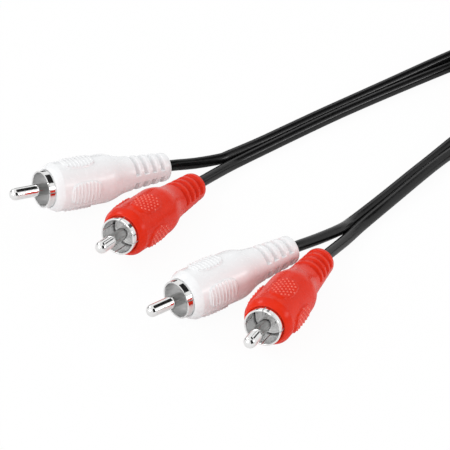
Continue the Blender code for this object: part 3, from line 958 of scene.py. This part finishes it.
def web_piece(name, sides):
    """The thin web that joins the two strands, as a closed strip along the middle of the twin."""
    middles = through([middle for middle, _ in sides], ROUTE_STEPS)
    outs = through([out for _, out in sides], ROUTE_STEPS)
    shape = bmesh.new()
    rings = []
    for i, middle in enumerate(middles):
        along = (middles[min(i + 1, len(middles) - 1)] - middles[max(i - 1, 0)]).normalized()
        out = outs[i].normalized()
        flat = along.cross(out).normalized()
        ring = []
        for across, thick in ((1, 1), (-1, 1), (-1, -1), (1, -1)):
            spot = middle + out * across * WEB_HALF_WIDTH + flat * thick * WEB_HALF_THICKNESS
            ring.append(shape.verts.new(spot))
        rings.append(ring)
    for before, after in zip(rings, rings[1:]):
        for k in range(4):
            beside = (k + 1) % 4
            shape.faces.new((before[k], before[beside], after[beside], after[k]))
    shape.faces.new(rings[0])
    shape.faces.new(list(reversed(rings[-1])))
    bmesh.ops.recalc_face_normals(shape, faces=shape.faces)
    mesh = bpy.data.meshes.new(name)
    shape.to_mesh(mesh)
    shape.free()
    obj = bpy.data.objects.new(name, mesh)
    bpy.context.scene.collection.objects.link(obj)
    return obj


def tie_piece(name):
    """A soft rubber strap round the coil, its section rounded and its corners easy."""
    band = COIL_OUTER_RADIUS - COIL_INNER_RADIUS + 2 * STRAND_RADIUS
    height = 2 * (STRAND_SPACING + 2 * STRAND_RADIUS) + TIE_LIFT
    half_width = band / 2 + TIE_CLEARANCE + TIE_THICKNESS / 2
    low = TIE_THICKNESS / 2
    high = TIE_THICKNESS + height + TIE_THICKNESS / 2
    corner = TIE_CORNER
    path = []
    for x, z, start in (
        (half_width - corner, high - corner, 90),
        (half_width - corner, low + corner, 0),
        (-half_width + corner, low + corner, -90),
        (-half_width + corner, high - corner, -180),
    ):
        path += [Vector((px, 0.0, pz)) for px, pz in rounded((x, z), corner, start, start - 90, 6)]
    shape = bmesh.new()
    rings = []
    for i, spot in enumerate(path):
        along = (path[(i + 1) % len(path)] - path[i - 1]).normalized()
        outward = Vector((0.0, 1.0, 0.0)).cross(along)
        ring = []
        for k in range(TIE_SIDES):
            angle = math.tau * (k + 0.5) / TIE_SIDES
            wide = abs(math.cos(angle)) ** TIE_FLATNESS
            deep = abs(math.sin(angle)) ** TIE_ROUNDNESS
            across = wide * math.copysign(TIE_WIDTH / 2, math.cos(angle))
            thick = deep * math.copysign(TIE_THICKNESS / 2, math.sin(angle))
            ring.append(shape.verts.new(spot + Vector((0.0, across, 0.0)) + outward * thick))
        rings.append(ring)
    for i, ring in enumerate(rings):
        after = rings[(i + 1) % len(rings)]
        for k in range(TIE_SIDES):
            beside = (k + 1) % TIE_SIDES
            shape.faces.new((ring[k], ring[beside], after[beside], after[k]))
    bmesh.ops.recalc_face_normals(shape, faces=shape.faces)
    mesh = bpy.data.meshes.new(name)
    shape.to_mesh(mesh)
    shape.free()
    turn = Matrix.Rotation(math.radians(TIE_ANGLE_DEGREES), 4, "Z")
    radius = (COIL_OUTER_RADIUS + COIL_INNER_RADIUS) / 2
    mesh.transform(Matrix.Translation(COIL_CENTRE) @ turn @ Matrix.Translation((radius, 0.0, 0.0)))
    mesh.shade_smooth()
    obj = bpy.data.objects.new(name, mesh)
    bpy.context.scene.collection.objects.link(obj)
    return obj


def build_cord(poses, sheath, rubber):
    sides = twin_sides(twin_route())
    web = web_piece("cord_web", sides)
    joined_to_body(web, sheath, "black_pvc")
    tie = tie_piece("coil_strap")
    joined_to_body(tie, rubber, "tie_pvc", "coil_tie")
    for colour, side, carried in (("white", 1, [web, tie]), ("red", -1, [])):
        strand = strand_piece(colour + "_channel_strand", strand_route(colour, side, poses, sides))
        nodes = [f"upper_{colour}_strand", f"lower_{colour}_strand"]
        if colour == "white":
            nodes.append("cord_coil")
        joined_to_body(strand, sheath, "black_pvc", *nodes)


# Studio


def stage_sheet(name, corners, material):
    """One flat face of the studio."""
    mesh = bpy.data.meshes.new(name)
    mesh.from_pydata(corners, [], [range(len(corners))])
    mesh.materials.append(material)
    obj = bpy.data.objects.new(name, mesh)
    bpy.context.scene.collection.objects.link(obj)
    return obj


def floor_paint():
    """Matt white that the camera sees a little lighter, so that the floor runs into the white background."""
    material = new_material("studio_floor", (0.93, 0.93, 0.93), 0.9)
    nodes = material.node_tree.nodes
    links = material.node_tree.links
    matt = nodes["Principled BSDF"]
    matt.inputs["Specular IOR Level"].default_value = 0.0
    white = nodes.new("ShaderNodeEmission")
    white.inputs["Color"].default_value = (1.0, 1.0, 1.0, 1.0)
    white.inputs["Strength"].default_value = 1.0
    path = nodes.new("ShaderNodeLightPath")
    share = nodes.new("ShaderNodeMath")
    share.operation = "MULTIPLY"
    share.inputs[1].default_value = FLOOR_GLOW
    mix = nodes.new("ShaderNodeMixShader")
    links.new(path.outputs["Is Camera Ray"], share.inputs[0])
    links.new(share.outputs["Value"], mix.inputs["Fac"])
    links.new(matt.outputs["BSDF"], mix.inputs[1])
    links.new(white.outputs["Emission"], mix.inputs[2])
    links.new(mix.outputs["Shader"], nodes["Material Output"].inputs["Surface"])
    return material


def facing(place, target):
    """A pose at place whose -Z looks at target."""
    return Matrix.Translation(place) @ (target - place).to_track_quat("-Z", "Y").to_matrix().to_4x4()


def soft_light(name, place, size, watts):
    light = bpy.data.lights.new(name, "AREA")
    light.shape = "RECTANGLE"
    light.size = size[0]
    light.size_y = size[1]
    light.energy = watts
    obj = bpy.data.objects.new(name, light)
    obj.matrix_world = facing(Vector(place), VIEW_POINT)
    bpy.context.scene.collection.objects.link(obj)


def dark_card(name, corners, material):
    """A black card that only reflections see, its corners given as turn from +Y to +X and height."""
    places = []
    for turn, height in corners:
        turn = math.radians(turn)
        height = math.radians(height)
        level = Vector((math.sin(turn), math.cos(turn), 0.0)) * math.cos(height)
        places.append(VIEW_POINT + (level + Vector((0.0, 0.0, math.sin(height)))) * CARD_DISTANCE)
    card = stage_sheet(name, places, material)
    card.visible_camera = False
    card.visible_diffuse = False
    card.visible_shadow = False
    card.visible_transmission = False
    return card


def build_studio():
    scene = bpy.context.scene
    scene.view_settings.view_transform = "Standard"
    corners = [(x * FLOOR_HALF, y * FLOOR_HALF, FLOOR_Z) for x, y in ((-1, -1), (1, -1), (1, 1), (-1, 1))]
    stage_sheet("floor", corners, floor_paint())
    black = new_material("black_card", (0.004, 0.004, 0.004), 0.9)
    for name, corners in DARK_CARDS.items():
        dark_card(name, corners, black)
    soft_light("key_left", (-0.75, -0.65, 0.55), (0.7, 0.7), 3.6)
    soft_light("back_left", (-0.67, 0.39, 0.78), (0.22, 0.22), 1.6)
    soft_light("fill_right", (0.99, -0.27, 0.40), (0.50, 0.16), 2.1)
    world = bpy.data.worlds.new("studio_world")
    scene.world = world
    world.use_nodes = True
    nodes = world.node_tree.nodes
    links = world.node_tree.links
    shade = nodes["Background"]
    shade.inputs["Color"].default_value = (1.0, 1.0, 1.0, 1.0)
    shade.inputs["Strength"].default_value = WORLD_SHADE
    seen = nodes.new("ShaderNodeBackground")
    seen.inputs["Color"].default_value = (1.0, 1.0, 1.0, 1.0)
    seen.inputs["Strength"].default_value = 1.0
    path = nodes.new("ShaderNodeLightPath")
    direct = nodes.new("ShaderNodeMath")
    direct.operation = "MAXIMUM"
    mix = nodes.new("ShaderNodeMixShader")
    links.new(path.outputs["Is Camera Ray"], direct.inputs[0])
    links.new(path.outputs["Is Glossy Ray"], direct.inputs[1])
    links.new(direct.outputs["Value"], mix.inputs["Fac"])
    links.new(shade.outputs["Background"], mix.inputs[1])
    links.new(seen.outputs["Background"], mix.inputs[2])
    links.new(mix.outputs["Shader"], nodes["World Output"].inputs["Surface"])
    lens = bpy.data.cameras.new("camera")
    lens.lens = LENS
    lens.sensor_width = 36.0
    lens.clip_start = 0.01
    camera = bpy.data.objects.new("camera", lens)
    raised = math.radians(VIEW_ELEVATION)
    back = Vector((0.0, -math.cos(raised), math.sin(raised))) * VIEW_DISTANCE
    camera.matrix_world = facing(VIEW_POINT + back, VIEW_POINT)
    scene.collection.objects.link(camera)
    scene.camera = camera


def build_pieces():
    plastics = {
        "white": moulded_pvc("white_moulded_pvc", (0.86, 0.865, 0.875), (0.88, 0.885, 0.895), 0.40),
        "red": moulded_pvc("red_moulded_pvc", (0.70, 0.020, 0.004), (0.76, 0.026, 0.005), 0.16),
    }
    # The dots' red is lighter and pinker than the body's: a painted highlight standing in for the light their
    # domes catch.
    dot_plastic_painted_highlight = moulded_pvc("red_dot_pvc_painted_highlight", (0.88, 0.12, 0.08), (0.94, 0.18, 0.13), 0.50)
    metals = {"bright": bright_nickel(), "satin": satin_nickel()}
    nylon = pale_nylon()
    shared = {
        "Barrel radius": BARREL_RADIUS,
        "Pad centre": PAD_CENTRE,
        "Pad length": PAD_LENGTH,
        "Pad width": PAD_WIDTH,
    }
    rib_sizes = {"Rib pitch": RIB_PITCH, "Rib width": RIB_WIDTH, "Rib height": WHITE_PAD_HEIGHT + RIB_HEIGHT}
    dot_sizes = {"Dot pitch": DOT_PITCH, "Dot radius": DOT_RADIUS, "Dot height": RED_PAD_HEIGHT + DOT_HEIGHT}
    patterns = {
        "white": (rib_tree(), shared | rib_sizes, plastics["white"]),
        "red": (dot_tree(), shared | dot_sizes, dot_plastic_painted_highlight),
    }
    poses = {}
    for name in PLUGS:
        poses[name] = build_plug(name, plastics, metals, nylon, patterns)
    build_cord(poses, cord_pvc(), tie_rubber())
    polythene = inner_polythene()
    copper = tinned_copper()
    for name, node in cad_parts.items():
        if name.endswith("_inner_mould"):
            node.data.materials.clear()
            node.data.materials.append(polythene)
        elif name.endswith(("_signal_core", "_screen_wire")):
            node.data.materials.clear()
            node.data.materials.append(copper)


build_studio()
build_pieces()
